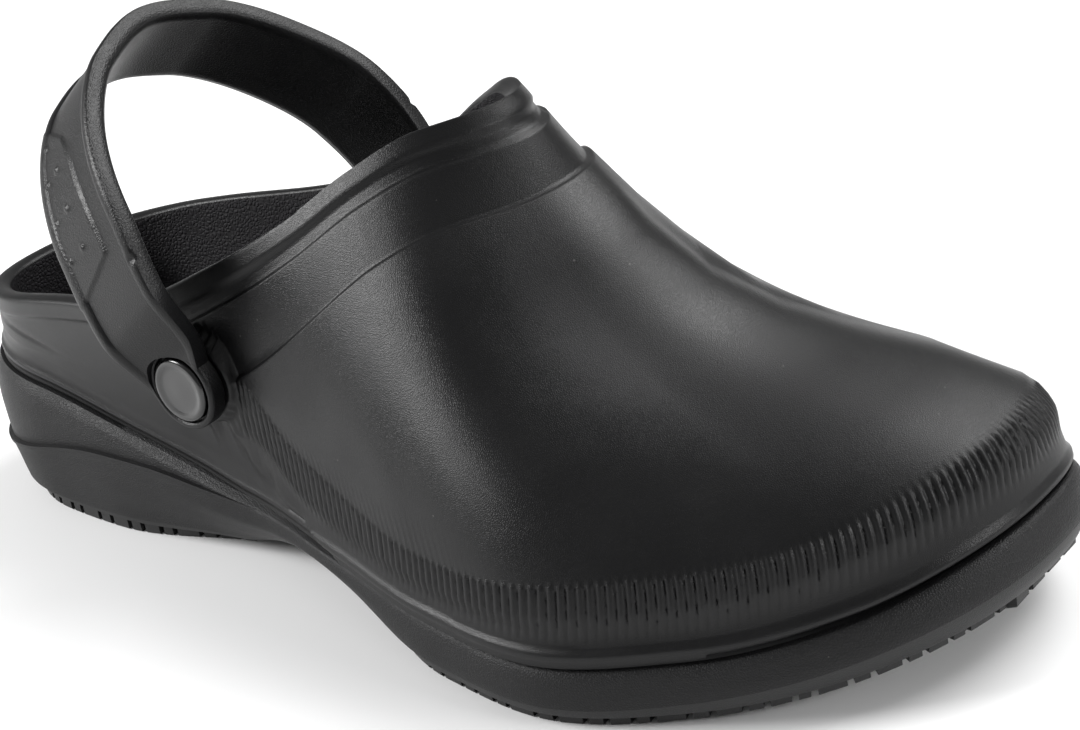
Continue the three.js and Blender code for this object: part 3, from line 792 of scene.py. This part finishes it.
walk = np.linspace(0, math.pi, 1200)
walk_share = (1 - np.cos(walk)) / 2
blocks = 0
for which in (-1.0, 1.0):
    edge_inset = side_inset(np.zeros_like(walk_share), walk_share) + rubber_inset
    ex, ey = plan_point(walk_share, which * np.ones_like(walk_share), edge_inset)
    ix, iy = plan_point(walk_share, which * np.ones_like(walk_share), edge_inset + edge_deep)
    arc = np.concatenate([[0], np.cumsum(np.hypot(np.diff(ex), np.diff(ey)))])
    place = edge_gap / 2
    turn = 0
    width = edge_widths[turn]
    while place + width < arc[-1] - edge_gap / 2:
        stops = np.linspace(place, place + width, 3)
        if all(has_lugs(at) for at in np.interp(stops, arc, walk_share)):
            outside = np.column_stack([np.interp(stops, arc, ex), np.interp(stops, arc, ey)])
            inside = np.column_stack([np.interp(stops, arc, ix), np.interp(stops, arc, iy)])
            block(np.concatenate([outside, inside[::-1]]))
            blocks += 1
        place += width + edge_gap
        turn += 1
        width = edge_widths[turn % len(edge_widths)]

corner_signs = np.array([[-1, -1], [1, -1], [1, 1], [-1, 1]])
field_inset = rubber_inset + edge_deep + edge_gap
field_middle = 4
field_files = 9
stagger = 0.25
tip_margin = 0.01
for i in range(int(shoe_length / field_pitch)):
    x = (i + 0.5) * field_pitch
    for j in range(-field_files, field_files + 1):
        y = (j + (stagger if i % 2 else -stagger)) * field_pitch + field_middle
        square = np.array([x, y]) + corner_signs * field_block / 2
        at = square[:, 0] / shoe_length
        if at.min() < tip_margin or at.max() > 1 - tip_margin:
            continue
        if not (has_lugs(at.min()) and has_lugs(at.max())):
            continue
        inset = side_inset(np.zeros(4), at) + field_inset
        low_limit = plan_point(at, -np.ones(4), inset)[1]
        high_limit = plan_point(at, np.ones(4), inset)[1]
        if np.all(square[:, 1] > low_limit) and np.all(square[:, 1] < high_limit):
            block(square)
            blocks += 1
make_piece(
    "clog_outsole", tread_points, tread_faces, tread_rubber, ["outsole"], sharp=28,
)
print("tread blocks:", blocks)

# %% [markdown]
# ## Insole
# A foam sheet that lies in the dish of the midsole, with its edge rounded by the die that cut it. It is
# made of the same rings as the midsole, a little smaller, so that it lies in the dish without touching.

# %% Insole
insole_thickness = 3
insole_gap = 0.6


def insole_ring(height, extra):
    inset = side_inset(np.ones_like(sole_share), sole_share) + rim_width + dish_slope + insole_gap + extra
    x, y = plan_point(sole_share, sole_which, inset)
    return np.stack([x, y, footbed_height(x / shoe_length) + height], -1)


insole_rows = [(clearance, 0), (clearance + insole_thickness - 1, 0)]
for a in (0.5, 1.0, math.pi / 2):
    insole_rows.append((clearance + insole_thickness - 1 + math.sin(a), 1 - math.cos(a)))
insole_rows.append((clearance + insole_thickness, 6))
sheet = [insole_ring(height, extra) for height, extra in insole_rows]
insole_faces = bands(len(sheet), len(sole_share))
insole_faces += ladder(0, len(sole_share)) + ladder((len(sheet) - 1) * len(sole_share), len(sole_share))
make_piece("clog_insole", sheet, insole_faces, sock_eva, ["insole"], sharp=50)

# %% [markdown]
# ## Strap
# The strap is a moulded band. It has a bead along both edges, a raised pointed panel with seven small dots on
# each side, and a round end about each rivet with a recess for the rivet's cap. A curve with a bevel could
# make the band, but its width changes all along, so its section is swept by a table of its own.

# %% Strap's path and section
strap_lean = math.radians(128.6)
strap_reach = 78.7
strap_half = [
    [0.0, 1.0, 0.0, 0.34, 0.34],
    [0.06, 1.01, 0.06, 0.48, 0.33],
    [0.2, 1.15, 0.24, 0.8, 0.19],
    [0.4, 1.06, 0.5, 0.9, 0.14],
    [0.6, 0.81, 0.75, 0.82, 0.2],
    [0.8, 0.43, 0.93, 0.77, 0.26],
    [1.0, 0.0, 1.0, 0.74, 0.3],
]
mirrored = [[2 - a, -gap, *rest] for a, gap, *rest in strap_half[-2::-1]]
strap_rows = columns_of(["along", "half_gap", "reach", "front", "back"], strap_half + mirrored)


def of_strap(name, along):
    return bend(strap_rows["along"], strap_rows[name], along)


def strap_middle(along):
    reach = strap_reach * of_strap("reach", along)
    across = -strap_half_gap * of_strap("half_gap", along)
    x = pivot_x + reach * math.cos(strap_lean)
    z = pivot_z + reach * math.sin(strap_lean)
    return np.stack([x, across, z], -1)


def strap_point(along, across, out):
    back = np.array([-math.sin(strap_lean), 0, math.cos(strap_lean)])
    way = strap_middle(np.minimum(2, along + 0.01)) - strap_middle(np.maximum(0, along - 0.01))
    outward = np.cross(way, back)
    outward = outward / np.linalg.norm(outward, axis=-1, keepdims=True)
    width = strap_width * mix(-of_strap("front", along), of_strap("back", along), across)
    return strap_middle(along) + back * width[..., None] + outward * out[..., None]


# %% Panel, dots and edges of the strap
panel_height = 0.55
dot_places = [(0.67, 0.86), (0.575, 0.85), (0.48, 0.84), (0.39, 0.84)]
dot_places += [(0.585, 0.66), (0.485, 0.62), (0.39, 0.6)]
dot_radius = 0.85
dot_height = 0.5
strap_run = 103.8  # length of the band from a rivet to its middle


def strap_relief(along, across):
    """Height of the outer face over the band's middle."""
    near = np.minimum(along, 2 - along)
    half = strap_thickness / 2
    bead = smooth(0.05, 0.2, near) * 0.6
    edges = np.maximum(crown((across - 0.065) / 0.06), crown((across - 0.935) / 0.06))
    front = bend([0.3, 0.335, 0.44, 0.55, 0.655, 0.76], [0.34, 0.34, 0.35, 0.4, 0.55, 0.9], near)
    over = (near - mix(0.335, 0.29, np.clip((across - 0.34) / 0.66, 0, 1))) * 100
    under = (mix(0.655, 0.74, np.clip((across - 0.55) / 0.45, 0, 1)) - near) * 100
    panel = smooth(-0.4, 0.5, over) * smooth(-0.4, 0.5, under) * smooth(-0.015, 0.015, across - front)
    notch = 0.7 * np.exp(-(((near - 0.28) / 0.008) ** 2)) * (1 - smooth(0.04, 0.12, across))
    dots = 0
    for dot_along, dot_across in dot_places:
        away = np.hypot((near - dot_along) * strap_run, (across - dot_across) * strap_width)
        dots = np.maximum(dots, dot_height * crown(away / dot_radius))
    return half * 0.9 + (half * 0.1 + bead) * edges * (1 - 0.5 * panel) + panel_height * panel - notch + dots


strap_turns = 480
face_points = 60
edge_turn = 0.16  # how near to the band's edges the outer face's points begin, as an angle
strap_along = np.linspace(0, 2, strap_turns)[:, None]
face_across = 0.5 - 0.5 * np.cos(np.linspace(edge_turn, math.pi - edge_turn, face_points))
outer_across = mix(face_across, np.linspace(0.01, 0.99, face_points), 0.6)
inner_across = outer_across[::3][::-1]
edge_out = [0.55, 0.0, -0.55]


def inner_level(across):
    """The inner face as a share of half the thickness; it is drawn back at both edges to round them."""
    return -0.7 if abs(across - 0.5) > 0.46 else -1.0


section = [(a, None) for a in outer_across] + [(1.0, o) for o in edge_out]
section += [(a, inner_level(a)) for a in inner_across] + [(0.0, o) for o in edge_out[::-1]]
strap_rings = []
for across, out in section:
    wide = np.full_like(strap_along, across)
    if out is None:
        level = strap_relief(strap_along, wide)
    else:
        level = np.full_like(strap_along, out * strap_thickness / 2)
    strap_rings.append(strap_point(strap_along, wide, level)[:, 0])
strap_grid = np.stack(strap_rings, 1)
last_ring = (strap_turns - 1) * len(section)
strap_faces = bands(strap_turns, len(section))
strap_faces += [list(range(len(section))), [last_ring + i for i in range(len(section))]]
strap = make_piece("clog_strap", strap_grid, strap_faces, strap_eva, ["heel_strap"])


# %% [markdown]
# ## Turned forms
# Anything round about the rivets is a profile turned about their common axis. The Screw modifier does that
# too, but here the same short function gives the strap's round end, the cutter of its recess, and the rivets.

# %% Turning
def turned(profile, which, sides=72):
    """Points and faces of a profile (radius, distance from the middle plane) on one side of the shoe."""
    angle = np.linspace(0, 2 * math.pi, sides, endpoint=False)
    rings_made = []
    for radius, away in profile:
        x = pivot_x + radius * np.cos(angle)
        z = pivot_z + radius * np.sin(angle)
        rings_made.append(np.stack([x, np.full(sides, which * away), z], -1))
    faces = bands(len(profile), sides)
    faces += [list(range(sides)), [(len(profile) - 1) * sides + i for i in range(sides)]]
    return np.concatenate(rings_made), faces


def carve(piece, profile, which, operation):
    points, faces = turned(profile, which)
    tool = make_piece("tool", points, faces, strap_eva, None)
    change = piece.modifiers.new("carve", "BOOLEAN")
    change.operation = operation
    change.solver = "EXACT"
    change.object = tool
    bpy.context.view_layer.update()
    carved = bpy.data.meshes.new_from_object(piece.evaluated_get(bpy.context.evaluated_depsgraph_get()))
    piece.modifiers.clear()
    piece.data = carved
    bpy.data.objects.remove(tool)


# %% Round ends and recesses
rivet_cap_radius = 8.2
rivet_recess = 1.6
inner_face = strap_half_gap - strap_thickness / 2
outer_face = strap_half_gap + strap_thickness / 2
end_low = inner_face + 0.1
end_high = outer_face + 0.1
end_profile = [(strap_end_radius - 0.6, end_low), (strap_end_radius, end_low + 0.6)]
for a in np.radians([0, 25, 50, 75, 90]):
    end_profile.append((strap_end_radius - 1 + math.cos(a), end_high - 1 + math.sin(a)))
recess_profile = [
    (rivet_cap_radius + 0.45, outer_face - rivet_recess),
    (rivet_cap_radius + 0.6, end_high - 0.35),
    (rivet_cap_radius + 0.95, end_high),
    (rivet_cap_radius + 0.95, end_high + 4),
]
for which in (-1, 1):
    carve(strap, end_profile, which, "UNION")
    carve(strap, recess_profile, which, "DIFFERENCE")
strap.data.shade_smooth()
strap.data.set_sharp_from_angle(angle=math.radians(38))
print("strap faces after carving:", len(strap.data.polygons))

# %% [markdown]
# ## Rivets
# Each rivet is a glossy plastic stud with a low domed cap. The cap is plain, with a rounded rim and a
# shallow dish. A cylinder would look cut off, so stem, cap, rim and dish are one turned profile.

# %% Rivets
stem_radius = 3.6
cap_floor = outer_face - rivet_recess + clearance
cap_top = cap_floor + 2
stem_tip = seat_out - seat_thickness - 1.6 - clearance
rim_base = cap_floor + 1.1
stud_profile = [(0.6, stem_tip), (stem_radius, stem_tip), (stem_radius, cap_floor)]
stud_profile += [(rivet_cap_radius, cap_floor), (rivet_cap_radius, rim_base)]
for a in np.radians([30, 60, 90]):
    stud_profile.append((rivet_cap_radius - 1 + math.cos(a), rim_base + 0.85 * math.sin(a)))
dish = [(6.6, 0.1), (6.0, 0.4), (5.0, 0.5), (2.5, 0.42), (0.4, 0.38)]
stud_profile += [(radius, cap_top - below) for radius, below in dish]
for which, name in ((-1, "lateral"), (1, "medial")):
    points, faces = turned(stud_profile, which, 96)
    make_piece(f"rivet_{name}", points, faces, rivet_abs, [f"rivet_stud_{name}"], sharp=40)
    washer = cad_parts[f"rivet_washer_{name}"]
    washer.data.materials.clear()
    washer.data.materials.append(rivet_abs)

# %% [markdown]
# ## Camera and studio
# The camera looks from the lateral side and the toe, with a long lens. The floor is pale and the light is
# soft: one large panel behind and over the shoe, one at its heel for the shine along the vamp, a small one at
# the toe, and a dim room. Black foam shows its form only by what it mirrors, so the panels make the shape.

# %% Camera
azimuth = math.radians(41.451)
elevation = math.radians(25.346)
roll = math.radians(9.922)
camera_distance = 550
aim = Vector((166.3, 15.1, 41.1))
flat = Vector((math.cos(azimuth), math.sin(azimuth), 0))
back = Vector((math.sin(azimuth), -math.cos(azimuth), 0)) * math.cos(elevation)
back.z = math.sin(elevation)
upward = back.cross(flat)
right = flat * math.cos(roll) - upward * math.sin(roll)
upright = flat * math.sin(roll) + upward * math.cos(roll)
camera_data = bpy.data.cameras.new("photo_camera")
camera_data.lens = 76.97
camera_data.sensor_width = 36
camera_data.clip_start = 0.01
camera = bpy.data.objects.new("photo_camera", camera_data)
bpy.context.scene.collection.objects.link(camera)
place = (aim + back * camera_distance + Vector(shift)) / 1000
camera.matrix_world = Matrix.Translation(place) @ Matrix((right, upright, back)).transposed().to_4x4()
bpy.context.scene.camera = camera
print("camera at", [round(v, 4) for v in place])


# %% Floor and light
bpy.context.scene.view_settings.view_transform = "Standard"
floor_mesh = bpy.data.meshes.new("floor")
floor_half = 4.0
floor_corners = [(-1, -1), (1, -1), (1, 1), (-1, 1)]
floor_points = [(floor_half * x, floor_half * y, 0) for x, y in floor_corners]
floor_mesh.from_pydata(floor_points, [], [[0, 1, 2, 3]])
floor = bpy.data.objects.new("floor", floor_mesh)
bpy.context.scene.collection.objects.link(floor)
paper = bpy.data.materials.new("white paper, matte")
paper.use_nodes = True
paper.node_tree.nodes["Principled BSDF"].inputs["Base Color"].default_value = paint("#f4f4f4")
paper.node_tree.nodes["Principled BSDF"].inputs["Roughness"].default_value = 0.8
floor_mesh.materials.append(paper)


def soft_panel(name, spot, size, power):
    light = bpy.data.lights.new(name, "AREA")
    light.shape = "RECTANGLE"
    light.size, light.size_y = size
    light.energy = power
    lamp = bpy.data.objects.new(name, light)
    bpy.context.scene.collection.objects.link(lamp)
    lamp.location = spot
    lamp.rotation_euler = (Vector((0.0, 0.0, 0.04)) - Vector(spot)).to_track_quat("-Z", "Y").to_euler()


soft_panel("over", (0.45, 0.85, 1.25), (1.2, 0.7), 24)
soft_panel("side", (-0.8, -0.62, 0.62), (0.55, 0.4), 15)
soft_panel("toe", (1.1, 0.1, 0.5), (0.4, 0.25), 5)
room = bpy.data.worlds.new("bright room")
bpy.context.scene.world = room
room.use_nodes = True
room.node_tree.nodes["Background"].inputs["Color"].default_value = (1, 1, 1, 1)
room.node_tree.nodes["Background"].inputs["Strength"].default_value = 0.3
